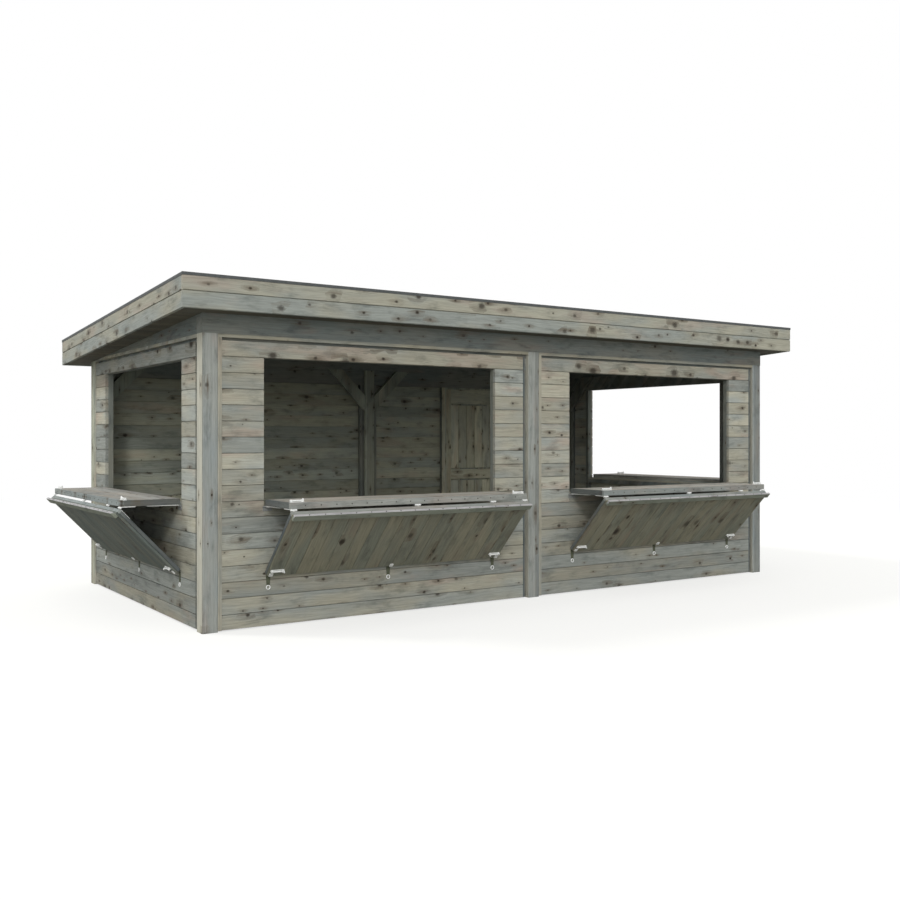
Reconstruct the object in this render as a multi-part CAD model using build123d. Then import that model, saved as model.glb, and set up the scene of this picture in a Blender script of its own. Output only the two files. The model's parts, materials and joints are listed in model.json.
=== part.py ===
from build123d import *
import math
import os

# Driving dimensions, millimetres. +Z up, front towards -Y, origin under the middle of the whole stall.

# Timber frame
bay = 3000.0                # post centre to post centre
front_bays = 2              # bays along the front
post = 120.0                # square post
post_chamfer = 6.0          # worn edges of the posts
post_height = 2190.0
beam_height = 120.0
brace_leg = 460.0           # along the post and along the beam
brace_width = 120.0
brace_thickness = 36.0

# Boarded walls, seen from outside
board_recess = 10.0         # board face behind the post face
board_thickness = 28.0
ground_gap = 8.0            # boards end just above the ground
batten_width = 30.0         # light strip at the left end of each bay
batten_recess = 4.0
groove_width = 30.0         # open groove at the right end of each bay
top_batten_height = 25.0
top_groove = 21.0           # open groove under the top batten
stud_depth = 45.0           # timbers behind the boards
stud_width = 45.0

# Serving openings
side_board_length = 332.5   # boards beside an opening, as long on both sides
lintel_height = 118.0       # boards above an opening
sill_top = 900.0

# Folding serving hatches
hatch_gap = 6.0             # side and top clearance of the closed hatch
panel_thickness = 47.0
counter_rise = 13.0         # counter's underside above the sill
counter_share = 0.4040      # height of the closed hatch that is counter, and not flap
pin_offset = 8.0            # hinge pins stand off the panels' outer faces
fold_gap = 6.0              # between counter and flap when they are in line
wall_gap = 5.0              # flap tip to the boards at rest
lap_thickness = 24.0        # strip that laps over the counter when closed
lap_width = 52.0
lap_reach = 22.0
lap_clearance = 5.0

# Hinges and fastenings
pin_radius = 4.0
pin_clearance = 0.05
barrel_radius = 7.0
leaf_thickness = 5.0
leaf_neck = 10.0            # pin to the full width of a leaf
knuckle_length = 24.0
knuckle_gap = 1.0
strap_width = 40.0
strap_tip_width = 22.0
strap_length = 250.0
plate_height = 32.0
fold_knuckle = 16.0
fold_leaf_length = 110.0
bolt_length = 110.0
bolt_radius = 6.0
bolt_rise = 12.0            # rod above its panel
bolt_base = 3.0
bolt_base_width = 22.0
bolt_inset = 12.0           # bolt end to the panel's side
flap_bolt_inset = 60.0
knob_height = 16.0
guide_width = 16.0
guide_height = 19.0
guide_length = 12.0
eye_width = 30.0
eye_height = 26.0
eye_thickness = 8.0
eye_inset = 4.0
catch_width = 36.0
catch_tip_width = 26.0
catch_height = 80.0
catch_thickness = 4.0
catch_drop = 23.0           # catch below the flap's tip
ring_radius = 15.0
ring_wire = 3.5
panel_edge_radius = 3.0
strap_place_shares = (-1.0, 0.0, 1.0)
fold_place_shares = (-1.0, 0.0, 0.69, 1.0)
catch_place_shares = (-0.975, 0.0, 0.975)

# Door in the back wall
door_width = 900.0
door_gap = 6.0
door_bottom_gap = 12.0
door_rail_thickness = 27.0
door_rail_width = 95.0      # stiles and bottom rail
door_mid_rail = 114.0
door_top_rail = 185.0
door_strap_length = 420.0
door_pull_height = 1050.0
door_pull_length = 150.0
door_pull_inset = 70.0
door_pull_reach = 45.0
door_pull_radius = 7.0
door_stop_width = 18.0      # stop strips behind the edges of the door
door_stop_gap = 5.0         # door to its stops
door_stop_joint = 1.0       # between the ends of two stops
mid_rail_share = 0.483
door_hinge_shares = (0.13, 0.87)

# Roof, falling to the back
front_overhang = 214.0
side_overhang = 222.0
back_overhang = 238.0
joist_end_height = 62.0     # joists at the back, where they are lowest
roof_fall_share = 0.0546    # drop of the roof for each length of depth
fascia_height = 250.0
fascia_thickness = 28.0
fascia_groove = 6.0
trim_height = 22.0
trim_flange = 60.0
trim_thickness = 3.0
membrane_thickness = 4.0
deck_thickness = 24.0
header_thickness = 45.0
joist_width = 60.0
joist_count = 9
soffit_thickness = 12.0
soffit_rise = 12.0          # soffit above the fascia's lower edge
soffit_gap = 2.0

# Sizes worked out from the driving dimensions
plan_length = front_bays * bay + post
plan_depth = bay + post
bay_clear = bay - post
board_top = post_height - top_batten_height - top_groove
opening_top = board_top - lintel_height
opening_width = bay_clear - batten_width - groove_width - 2 * side_board_length
board_back = board_recess + board_thickness
stud_back = board_back + stud_depth
beam_top = post_height + beam_height
hatch_width = opening_width - 2 * hatch_gap
counter_bottom = sill_top + counter_rise
counter_top = counter_bottom + panel_thickness
wall_pin_depth = board_recess - pin_offset
wall_pin_height = counter_bottom - pin_offset
hatch_height = opening_top - hatch_gap - wall_pin_height
counter_reach = hatch_height * counter_share
fold_pin_depth = wall_pin_depth - counter_reach
flap_length = hatch_height - counter_reach
flap_span = board_recess - wall_gap - fold_pin_depth
fold_angle = math.degrees(
    math.acos(flap_span / math.hypot(flap_length, pin_offset)) - math.atan2(pin_offset, flap_length)
)
flap_tip_drop = (
    flap_length * math.sin(math.radians(fold_angle)) + pin_offset * math.cos(math.radians(fold_angle))
)
catch_top = wall_pin_height - flap_tip_drop - catch_drop
flap_face = pin_offset + panel_thickness
hatch_reach = (
    lap_reach * math.cos(math.radians(fold_angle))
    + (flap_face + lap_thickness) * math.sin(math.radians(fold_angle))
    - fold_pin_depth
)
total_depth = hatch_reach + plan_depth + back_overhang
front_y = hatch_reach - total_depth / 2
back_y = front_y + plan_depth
mid_y = (front_y + back_y) / 2
half_length = plan_length / 2
roof_front = front_y - front_overhang
roof_back = back_y + back_overhang
roof_side = half_length + side_overhang
deck_bottom = trim_thickness + membrane_thickness + deck_thickness
roof_front_top = beam_top + joist_end_height + deck_bottom + roof_fall_share * (back_y - roof_front)
bay_centres = [(index - (front_bays - 1) / 2) * bay for index in range(front_bays)]
post_centres = [(index - front_bays / 2) * bay for index in range(front_bays + 1)]


# Building blocks
def block(x, y, z):
    """A box between two values along each axis."""
    size = Box(x[1] - x[0], y[1] - y[0], z[1] - z[0], align=(Align.MIN, Align.MIN, Align.MIN))
    return Pos(x[0], y[0], z[0]) * size


def prism_along_x(points, x):
    """A closed outline of (y, z) points drawn out from x[0] to x[1]."""
    face = make_face(Plane.YZ * Polyline(*points, close=True))
    return Pos(x[0], 0, 0) * extrude(face, amount=x[1] - x[0], dir=(1, 0, 0))


def prism_along_y(points, y):
    """A closed outline of (x, z) points drawn out from y[0] to y[1]."""
    face = make_face(Polyline(*[(px, 0, pz) for px, pz in points], close=True))
    return Pos(0, y[0], 0) * extrude(face, amount=y[1] - y[0], dir=(0, 1, 0))


def rod_along_x(radius, x, y, z):
    """A round bar along X."""
    bar = Cylinder(radius, x[1] - x[0], align=(Align.CENTER, Align.CENTER, Align.MIN))
    return Pos(x[0], y, z) * Rot(0, 90, 0) * bar


def rod_along_z(radius, x, y, z):
    """An upright round bar."""
    return Pos(x, y, z[0]) * Cylinder(radius, z[1] - z[0], align=(Align.CENTER, Align.CENTER, Align.MIN))


def save(name, solids):
    """Write one node, a single solid or a group of separate ones."""
    shape = solids[0] if len(solids) == 1 else Compound(children=list(solids))
    shape.label = name
    export_step(shape, os.path.join("parts", name + ".step"))


def placed(place, solids):
    """Solids of a bay, moved from the bay's own frame to their place in the stall."""
    return [place * solid for solid in solids]


# Bay frames: X to the right seen from outside, Y into the stall, origin on the post face at the ground
front_places = [Pos(x, front_y, 0) for x in bay_centres]
right_place = Pos(half_length, mid_y, 0) * Rot(0, 0, 90)
left_place = Pos(-half_length, mid_y, 0) * Rot(0, 0, -90)
back_places = [Pos(x, back_y, 0) * Rot(0, 0, 180) for x in bay_centres]
end_places = [left_place, right_place]
plain_back_place = back_places[0]
door_place = back_places[-1]
hatches = {
    "left_end": left_place,
    "front_left": front_places[0],
    "front_right": front_places[-1],
    "right_end": right_place,
}


# Timber frame
def post_at(x, y):
    """A square post with its four long edges worn off."""
    half = post / 2
    shape = block((x - half, x + half), (y - half, y + half), (0, post_height))
    return chamfer(shape.edges().filter_by(Axis.Z), post_chamfer)


def bay_braces():
    """The two sloping braces between the posts and the beam of one bay, flush with the posts inside."""
    side = bay_clear / 2
    foot = post_height - brace_leg
    slant = brace_width * math.sqrt(2)
    depth = (post - brace_thickness, post)
    braces = []
    for sign in (-1, 1):
        outline = [
            (sign * side, foot),
            (sign * (side - brace_leg), post_height),
            (sign * (side - brace_leg + slant), post_height),
            (sign * side, foot + slant),
        ]
        braces.append(prism_along_y(outline, depth))
    return braces


def build_frame():
    save("front_posts", [post_at(x, front_y + post / 2) for x in post_centres])
    save("back_posts", [post_at(x, back_y - post / 2) for x in post_centres])
    beam_z = (post_height, beam_top)
    save("front_beam", [block((-half_length, half_length), (front_y, front_y + post), beam_z)])
    save("back_beam", [block((-half_length, half_length), (back_y - post, back_y), beam_z)])
    between = (front_y + post, back_y - post)
    save("end_beams", [
        block((-half_length, -half_length + post), between, beam_z),
        block((half_length - post, half_length), between, beam_z),
    ])
    braces = bay_braces()
    save("front_braces", [solid for place in front_places for solid in placed(place, braces)])
    save("back_braces", [solid for place in back_places for solid in placed(place, braces)])
    save("end_braces", [solid for place in end_places for solid in placed(place, braces)])


# Boarded walls
def board_panel(x, z):
    """A panel of wall boards in the frame of its bay."""
    return block(x, (board_recess, board_back), z)


def side_panels(gap_width):
    """The panels to the left and right of an opening, from the batten and from the groove."""
    side = bay_clear / 2
    height = (ground_gap, board_top)
    return [
        board_panel((-side + batten_width, -gap_width / 2), height),
        board_panel((gap_width / 2, side - groove_width), height),
    ]


def build_walls():
    side = bay_clear / 2
    half = opening_width / 2
    lower = board_panel((-half, half), (ground_gap, sill_top))
    lintel = board_panel((-half, half), (opening_top, board_top))
    for name, places in (("front", front_places), ("end", end_places)):
        sides = [solid for place in places for solid in placed(place, side_panels(opening_width))]
        save(name + "_side_walls", sides)
        save(name + "_lower_walls", [place * lower for place in places])
        save(name + "_lintel_walls", [place * lintel for place in places])
    plain = board_panel((-side + batten_width, side - groove_width), (ground_gap, board_top))
    save("back_plain_wall", [plain_back_place * plain])
    save("back_door_side_walls", placed(door_place, side_panels(door_width)))
    over_door = board_panel((-door_width / 2, door_width / 2), (opening_top, board_top))
    save("back_over_door_wall", [door_place * over_door])


def build_battens():
    side = bay_clear / 2
    depth = (batten_recess, board_back)
    top = post_height - top_batten_height
    upright = block((-side, -side + batten_width), depth, (ground_gap, top))
    level = block((-side, side), depth, (top, post_height))
    every_place = front_places + end_places + back_places
    save("side_battens", [place * upright for place in every_place])
    save("top_battens", [place * level for place in every_place])


def build_studs():
    """Timbers behind the boards: by the posts, beside the openings, and across their heads and sills."""
    side = bay_clear / 2
    depth = (board_back, stud_back)
    height = (ground_gap, opening_top)
    by_posts = [
        block((-side, -side + stud_width), depth, height),
        block((side - stud_width, side), depth, height),
    ]

    def jambs(gap_width):
        half = gap_width / 2
        return [
            block((-half - stud_width, -half), depth, height),
            block((half, half + stud_width), depth, height),
        ]

    head = block((-side, side), depth, (opening_top, post_height))
    half = opening_width / 2
    sill = block((-half, half), depth, (sill_top - stud_width, sill_top))
    hatch_places = front_places + end_places
    studs = [solid for place in hatch_places + back_places for solid in placed(place, by_posts)]
    studs += [solid for place in hatch_places for solid in placed(place, jambs(opening_width))]
    studs += placed(door_place, jambs(door_width))
    save("wall_studs", studs)
    save("head_rails", [place * head for place in hatch_places + back_places])
    save("sill_rails", [place * sill for place in hatch_places])


# Roof
def roof_z(y, below=0.0):
    """Height of the sloping roof at a depth, less a distance below its top."""
    return roof_front_top - roof_fall_share * (y - roof_front) - below


def roof_slab(x, y, top, bottom):
    """A plate that follows the slope, between two distances below the roof's top."""
    outline = [
        (y[0], roof_z(y[0], bottom)),
        (y[1], roof_z(y[1], bottom)),
        (y[1], roof_z(y[1], top)),
        (y[0], roof_z(y[0], top)),
    ]
    return prism_along_x(outline, x)


def under_deck(x, y, base):
    """A timber with a level base whose top meets the underside of the deck."""
    outline = [
        (y[0], base),
        (y[1], base),
        (y[1], roof_z(y[1], deck_bottom)),
        (y[0], roof_z(y[0], deck_bottom)),
    ]
    return prism_along_x(outline, x)


def build_roof():
    face_in = trim_thickness + fascia_thickness
    inner_x = (-roof_side + face_in, roof_side - face_in)
    inner_y = (roof_front + face_in, roof_back - face_in)
    cover_top = trim_thickness + membrane_thickness
    save("roof_deck", [roof_slab(inner_x, inner_y, cover_top, cover_top + deck_thickness)])
    save("roof_membrane", [roof_slab(inner_x, inner_y, trim_thickness, cover_top)])

    # Edge trim: an angle of sheet metal round the whole roof
    outer = roof_slab((-roof_side, roof_side), (roof_front, roof_back), 0, trim_height)
    skin_x = (-roof_side + trim_thickness, roof_side - trim_thickness)
    skin_y = (roof_front + trim_thickness, roof_back - trim_thickness)
    hollow = roof_slab(skin_x, skin_y, trim_thickness, 2 * trim_height)
    flange_x = (-roof_side + trim_flange, roof_side - trim_flange)
    flange_y = (roof_front + trim_flange, roof_back - trim_flange)
    window = roof_slab(flange_x, flange_y, -trim_height, 2 * trim_height)
    save("roof_edge_trim", [outer - hollow - window])

    # Fascias: two boards high, with the groove between them
    front_face = (roof_front + trim_thickness, roof_front + face_in)
    back_face = (roof_back - face_in, roof_back - trim_thickness)
    groove_top = (fascia_height + trim_height) / 2 - fascia_groove / 2
    groove_bottom = groove_top + fascia_groove
    front_cut_y = (front_face[0] - fascia_groove, front_face[0] + fascia_groove)
    back_cut_y = (back_face[1] - fascia_groove, back_face[1] + fascia_groove)
    front_board = roof_slab(skin_x, front_face, trim_thickness, fascia_height)
    back_board = roof_slab(skin_x, back_face, trim_thickness, fascia_height)
    save("front_fascia", [front_board - roof_slab(skin_x, front_cut_y, groove_top, groove_bottom)])
    save("back_fascia", [back_board - roof_slab(skin_x, back_cut_y, groove_top, groove_bottom)])
    ends = []
    for sign in (-1, 1):
        outside = sign * (roof_side - trim_thickness)
        inside = sign * (roof_side - face_in)
        board = roof_slab(sorted((outside, inside)), inner_y, trim_thickness, fascia_height)
        cut_x = (outside - fascia_groove, outside + fascia_groove)
        ends.append(board - roof_slab(cut_x, inner_y, groove_top, groove_bottom))
    save("end_fascias", ends)

    # Soffit boards between the fascias and the frame
    low = fascia_height - soffit_rise
    high = low - soffit_thickness
    walls_y = (front_y + soffit_gap, back_y - soffit_gap)
    save("soffit_boards", [
        roof_slab(inner_x, (inner_y[0], front_y), high, low),
        roof_slab(inner_x, (back_y, inner_y[1]), high, low),
        roof_slab((inner_x[0], -half_length), walls_y, high, low),
        roof_slab((half_length, inner_x[1]), walls_y, high, low),
    ])

    # Timbers between the beams and the deck
    front_header = (front_y, front_y + header_thickness)
    back_header = (back_y - header_thickness, back_y)
    between = (front_header[1], back_header[0])
    save("roof_headers", [
        under_deck((-half_length, half_length), front_header, beam_top),
        under_deck((-half_length, half_length), back_header, beam_top),
    ])
    save("roof_gables", [
        under_deck((-half_length, -half_length + header_thickness), between, beam_top),
        under_deck((half_length - header_thickness, half_length), between, beam_top),
    ])
    pitch = plan_length / (joist_count + 1)
    joists = []
    for index in range(joist_count):
        x = -half_length + (index + 1) * pitch
        joists.append(under_deck((x - joist_width / 2, x + joist_width / 2), between, beam_top))
    save("roof_joists", joists)


# Hinges and bolts, each in a frame of its own
def leaf_slab(outline):
    """A hinge leaf: its outline in plan, as thick as the leaf, against a panel that lies above it."""
    face = make_face(Polyline(*[(px, py, 0) for px, py in outline], close=True))
    return Pos(0, 0, pin_offset - leaf_thickness) * extrude(face, amount=leaf_thickness, dir=(0, 0, 1))


def hinge_leaf(length, width, tip_width, knuckle, middle):
    """One leaf of a pinned hinge, with its pin along X through the origin and the leaf along +Y.

    The middle leaf has one bored knuckle. The other has the two outer knuckles and the pin.
    """
    step = knuckle + knuckle_gap
    spans = [(k * step - knuckle / 2, k * step + knuckle / 2) for k in (-1, 0, 1)]
    leaf = leaf_slab([
        (-width / 2, leaf_neck),
        (width / 2, leaf_neck),
        (tip_width / 2, length),
        (-tip_width / 2, length),
    ])
    for span in (spans[1:2] if middle else spans[::2]):
        leaf += leaf_slab([(span[0], 0), (span[1], 0), (span[1], leaf_neck), (span[0], leaf_neck)])
        leaf += rod_along_x(barrel_radius, span, 0, 0)
    whole = (spans[0][0], spans[-1][-1])
    if middle:
        return leaf - rod_along_x(pin_radius + pin_clearance, whole, 0, 0)
    return leaf + rod_along_x(pin_radius, whole, 0, 0)


def hinge_width(knuckle):
    """Length of a pin with its three knuckles."""
    return 3 * knuckle + 2 * knuckle_gap


def barrel_bolt(side):
    """A sliding bolt on a base, its rod along X and its knob away from the given side."""
    half = bolt_length / 2
    bolt = block((-half, half), (-bolt_base_width / 2, bolt_base_width / 2), (0, bolt_base))
    for sign in (-1, 1):
        x = sign * (half - guide_length)
        bolt += block((x - guide_length / 2, x + guide_length / 2), (-guide_width / 2, guide_width / 2),
                      (0, guide_height))
    bolt += rod_along_x(bolt_radius, (-half, half), 0, bolt_rise)
    bolt += rod_along_z(bolt_radius, -side * (half - bolt_radius), 0, (bolt_rise, bolt_rise + knob_height))
    return bolt


# Folding serving hatches, in the frame of their bay
wall_pin = Pos(0, wall_pin_depth, wall_pin_height)
fold_pin = Pos(0, fold_pin_depth, wall_pin_height)
flap_frame = fold_pin * Rot(-fold_angle, 0, 0)
strap_places = [share * (hatch_width - strap_width) / 2 for share in strap_place_shares]
fold_places = [share * (hatch_width - hinge_width(fold_knuckle)) / 2 for share in fold_place_shares]
bolt_places = [(side, side * (hatch_width / 2 - bolt_inset - bolt_length / 2)) for side in (-1, 1)]
catch_places = [share * hatch_width / 2 for share in catch_place_shares]


def hatch_counter():
    """The counter board, level at rest, between its two hinge lines."""
    half = hatch_width / 2
    outer = fold_pin_depth + fold_gap / 2
    board = block((-half, half), (outer, wall_pin_depth), (counter_bottom, counter_top))
    return [fillet(board.edges().filter_by(Axis.X), panel_edge_radius)]


def hatch_counter_fittings():
    """Straps to the wall, leaves to the flap, and the two bolts on top."""
    strap = hinge_leaf(strap_length, strap_width, strap_tip_width, knuckle_length, True)
    width = hinge_width(fold_knuckle)
    leaf = hinge_leaf(fold_leaf_length, width, width, fold_knuckle, False)
    fittings = [wall_pin * Pos(x, 0, 0) * Rot(0, 0, 180) * strap for x in strap_places]
    fittings += [fold_pin * Pos(x, 0, 0) * leaf for x in fold_places]
    clear_of_lap = fold_pin_depth + lap_reach + hatch_gap + bolt_base_width / 2
    fittings += [Pos(x, clear_of_lap, counter_top) * barrel_bolt(side) for side, x in bolt_places]
    return fittings


def hatch_flap():
    """The flap, folded back under the counter, with the strip that laps over the counter when closed."""
    half = (-hatch_width / 2, hatch_width / 2)
    near = fold_gap / 2
    face = -flap_face
    panel = block(half, (near, flap_length), (face, -pin_offset))
    strip = [
        (near, face),
        (lap_width - lap_reach, face),
        (lap_width - lap_reach, face - lap_thickness),
        (-lap_reach, face - lap_thickness),
        (-lap_reach, face - lap_clearance),
        (near, face - lap_clearance),
    ]
    return [flap_frame * (panel + prism_along_x(strip, half))]


def hatch_flap_fittings():
    """Leaves to the counter, the two corner bolts and the eyes that the wall catches hold."""
    leaf = hinge_leaf(fold_leaf_length, fold_knuckle, fold_knuckle, fold_knuckle, True)
    fittings = [flap_frame * Pos(x, 0, 0) * Rot(0, 180, 0) * leaf for x in fold_places]
    on_face = Rot(180, 0, 0)
    for side, x in bolt_places:
        place = Pos(x, flap_length - flap_bolt_inset, -flap_face)
        fittings.append(flap_frame * place * on_face * barrel_bolt(side))
    lower = (flap_length - eye_inset - eye_height, flap_length - eye_inset)
    for x in catch_places:
        eye = block((x - eye_width / 2, x + eye_width / 2), lower, (-flap_face - eye_thickness, -flap_face))
        fittings.append(flap_frame * eye)
    return fittings


def wall_hinge_plates():
    """Fixed leaves of the hatch hinges, on the boards under the opening."""
    width = hinge_width(knuckle_length)
    plate = hinge_leaf(plate_height, width, width, knuckle_length, False)
    return [wall_pin * Pos(x, 0, 0) * Rot(-90, 0, 0) * plate for x in strap_places]


def catch_straps():
    """Straps on the boards under the flap's edge, tapered towards the ring that each one holds."""
    low = catch_top - catch_height
    depth = (board_recess - catch_thickness, board_recess)
    wide, narrow = catch_width / 2, catch_tip_width / 2
    outline = [(-wide, catch_top), (wide, catch_top), (narrow, low), (-narrow, low)]
    return [Pos(x, 0, 0) * prism_along_y(outline, depth) for x in catch_places]


def catch_rings():
    """Rings against the boards, each just under its strap."""
    height = catch_top - catch_height - ring_radius - ring_wire
    ring = Rot(90, 0, 0) * Torus(ring_radius, ring_wire)
    return [Pos(x, board_recess - ring_wire, height) * ring for x in catch_places]


def build_hatches():
    for name, place in hatches.items():
        save(name + "_counter", placed(place, hatch_counter()))
        save(name + "_counter_fittings", placed(place, hatch_counter_fittings()))
        save(name + "_flap", placed(place, hatch_flap()))
        save(name + "_flap_fittings", placed(place, hatch_flap_fittings()))
    fixed_fittings = {
        "hatch_hinge_plates": wall_hinge_plates(),
        "hatch_catch_straps": catch_straps(),
        "hatch_catch_rings": catch_rings(),
    }
    for name, fittings in fixed_fittings.items():
        save(name, [solid for place in hatches.values() for solid in placed(place, fittings)])


# Plank door in the back wall, hung on its left side seen from outside
def build_door():
    half = door_width / 2 - door_gap
    bottom = door_bottom_gap
    top = opening_top - door_gap
    height = top - bottom
    save("door_planks", [door_place * block((-half, half), (board_recess, board_back), (bottom, top))])

    # Stiles and rails behind the planks, as one ladder frame
    depth = (board_back, board_back + door_rail_thickness)
    frame = block((-half, half), depth, (bottom, top))
    mid = bottom + height * mid_rail_share
    inner = (-half + door_rail_width, half - door_rail_width)
    frame -= block(inner, depth, (bottom + door_rail_width, mid - door_mid_rail / 2))
    frame -= block(inner, depth, (mid + door_mid_rail / 2, top - door_top_rail))
    save("door_rails", [door_place * frame])

    # Stops that the closed door comes near, on the studs and under the head
    stop_depth = (depth[1] + door_stop_gap, stud_back)
    edge = door_width / 2
    stop_top = opening_top - door_stop_width
    jamb_height = (ground_gap, stop_top - door_stop_joint)
    save("door_stops", placed(door_place, [
        block((-edge, -edge + door_stop_width), stop_depth, jamb_height),
        block((edge - door_stop_width, edge), stop_depth, jamb_height),
        block((-edge, edge), stop_depth, (stop_top, opening_top)),
    ]))

    # Strap hinges, their pins upright beside the leaf
    pin_x = -half - door_gap / 2
    width = hinge_width(knuckle_length)
    strap = hinge_leaf(door_strap_length, strap_width, strap_tip_width, knuckle_length, True)
    plate = hinge_leaf(plate_height, width, width, knuckle_length, False)
    straps = []
    plates = []
    for share in door_hinge_shares:
        spot = (pin_x, wall_pin_depth, bottom + height * share)
        straps.append(door_place * Plane(origin=spot, x_dir=(0, 0, 1), z_dir=(0, 1, 0)).location * strap)
        plates.append(door_place * Plane(origin=spot, x_dir=(0, 0, -1), z_dir=(0, 1, 0)).location * plate)
    save("door_straps", straps)
    save("door_hinge_plates", plates)

    # Pull handle, a bent bar
    x = half - door_pull_inset
    reach = board_recess - door_pull_reach
    low = door_pull_height - door_pull_length / 2
    high = door_pull_height + door_pull_length / 2
    path = FilletPolyline((x, board_recess, low), (x, reach, low), (x, reach, high), (x, board_recess, high),
                          radius=2 * door_pull_radius)
    section = Plane(origin=(x, board_recess, low), z_dir=(0, -1, 0)) * Circle(door_pull_radius)
    save("door_pull", [door_place * sweep(section, path=path)])


os.makedirs("parts", exist_ok=True)
build_frame()
build_walls()
build_battens()
build_studs()
build_roof()
build_hatches()
build_door()
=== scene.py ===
import json
import math
import random

import bpy
from mathutils import Matrix, Vector


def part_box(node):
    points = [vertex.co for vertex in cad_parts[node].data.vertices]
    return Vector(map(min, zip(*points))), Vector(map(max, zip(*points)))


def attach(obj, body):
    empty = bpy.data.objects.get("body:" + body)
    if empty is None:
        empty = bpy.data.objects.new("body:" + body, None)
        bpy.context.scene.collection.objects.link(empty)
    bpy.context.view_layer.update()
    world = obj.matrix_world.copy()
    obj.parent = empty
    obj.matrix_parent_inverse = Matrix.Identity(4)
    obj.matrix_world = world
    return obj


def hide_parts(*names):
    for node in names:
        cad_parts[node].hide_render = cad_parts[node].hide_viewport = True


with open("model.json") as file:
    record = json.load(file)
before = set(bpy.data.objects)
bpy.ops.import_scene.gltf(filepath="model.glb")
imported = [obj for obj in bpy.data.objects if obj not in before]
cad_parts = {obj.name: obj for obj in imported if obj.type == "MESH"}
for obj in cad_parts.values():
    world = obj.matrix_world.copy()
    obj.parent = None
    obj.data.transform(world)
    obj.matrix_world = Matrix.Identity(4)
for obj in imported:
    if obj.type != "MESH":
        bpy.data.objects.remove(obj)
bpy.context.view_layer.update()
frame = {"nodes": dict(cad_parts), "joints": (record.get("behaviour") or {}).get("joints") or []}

nodes = frame["nodes"]
joints = {joint["name"]: joint for joint in frame["joints"]}

# Walls and openings, in metres as all sizes here
bay = 3.0
post = 0.120
wall_rows = 17              # rows of boards from the ground to the lintel
board_recess = 0.010
board_thickness = 0.028
stud_depth = 0.045
stud_width = 0.045
batten_width = 0.030
groove_width = 0.030
groove_strip = 0.026        # sunk strip beside the groove
strip_recess = 0.009
opening_width = 2.155
stop_height = 0.022         # strips on the sills, behind the closed counters
stop_depth = 0.021
lintel_knots = 2.2          # size of a lintel's knots, against those of the other boards
# The ends' value paints their lintels cool and dark, as painted shade for the shadow under the roof's
# overhang; the front's gives a warm, darker tone
lintel_tones_and_painted_shade = {"front": 0.03, "end": 0.96, "back": None}

# Details of boards
board_gap = 0.0055          # groove between the faces of two boards
board_slit = 0.0004         # slit between the cores of two boards
joint_share = 0.34          # depth of the open joint, of the thickness
slot_share = 0.40           # from each face to the tongue, of the thickness
tongue_height = 0.006
edge_chamfer = 0.0015
end_margin = 0.0002
grain_shifts = (40.0, 9.0)  # most that a board's grain is shifted, along it and across
grain_seed = 7
fascia_gap = 0.006
fascia_shades = (0.7, 0.3)  # lower and upper board

# Door
door_width = 0.900
door_rail_width = 0.095
door_mid_rail = 0.114
door_top_rail = 0.185
mid_rail_share = 0.483
infill_planks = 6
infill_depth = 0.022        # planks between the rails
infill_gap = 0.018          # open joint between those planks and the rails
casing_depth = 0.008

# Hatches
hatches = ("left_end", "front_left", "front_right", "right_end")
hatch_width = 2.143
hatch_gap = 0.006
panel_thickness = 0.047
panel_layer = 0.018         # boards on each face of a panel
core_inset = 0.002          # core behind the edges of the boards
counter_planks = 4
flap_boards = 5
plank_width = 0.119
plank_gap = 0.0025          # groove between the planks
rail_width = 0.070          # rail inside a panel, along its far edge
edge_strip = 0.020          # strips round the edges
pin_offset = 0.008
fold_gap = 0.006
lap_thickness = 0.024
lap_width = 0.052
lap_reach = 0.022
lap_clearance = 0.005
screw_radius = 0.0052
screw_height = 0.0012
screw_pitch = 0.127
screw_sides = 12
screw_ring_shares = ((1.0, 0.0), (0.9, 1.0), (0.55, 1.0), (0.4, 0.25))  # of the radius and of the height

# Surfaces, with patterns in waves to the metre along the grain, across it and into the wood
grain_relief = 0.0015
metal_relief = 0.0005
felt_relief = 0.004
knot_cells = 6.6            # cells to the metre, each with a knot or none
least_knot_share = 0.044    # radius of the smallest knots, of a cell
knot_growth_share = 0.105   # what the largest knots add to it
no_knot_share = 0.0005
knot_power = 3.0            # the higher, the fewer large knots
knot_stretch_share = 0.75   # width of a knot, of its length
halo_stretch_share = 0.36   # width of the halo round it, of its length
knot_push_share = 0.78      # most that a knot pushes the grain aside, of the distance from its middle
knot_push_reach = 3.6       # how far it does, in radii
ragged_waves = (8.0, 14.0, 1.0)     # in a cell
shade_waves = 1.7
drift_waves = (1.6, 3.0, 1.0)
sway_reach = 0.03
broad_waves = (2.0, 62.0, 62.0)
fine_waves = (8.0, 300.0, 300.0)
patch_waves = (1.2, 4.0, 3.0)
blush_waves = (1.7, 6.0, 4.0)
blush_shift = (31.0, 17.0, 5.0)
cloud_waves = (4.5, 12.0, 9.0)
cloud_shift = (7.0, 3.0, 11.0)
damp_low, damp_high = 0.35, 0.95    # heights between which the damp fades
damp_turn = 0.4             # how much cooler damp wood is
mottle_waves = (30.0, 30.0, 30.0)
gloss_range = 0.08
roll_width = 1.0            # rolls of roofing felt
seam_share = 0.012          # lap between two rolls, of their width
felt_stain_waves = (1.3, 0.6, 1.0)
grit_waves = (420.0, 420.0, 420.0)

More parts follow.
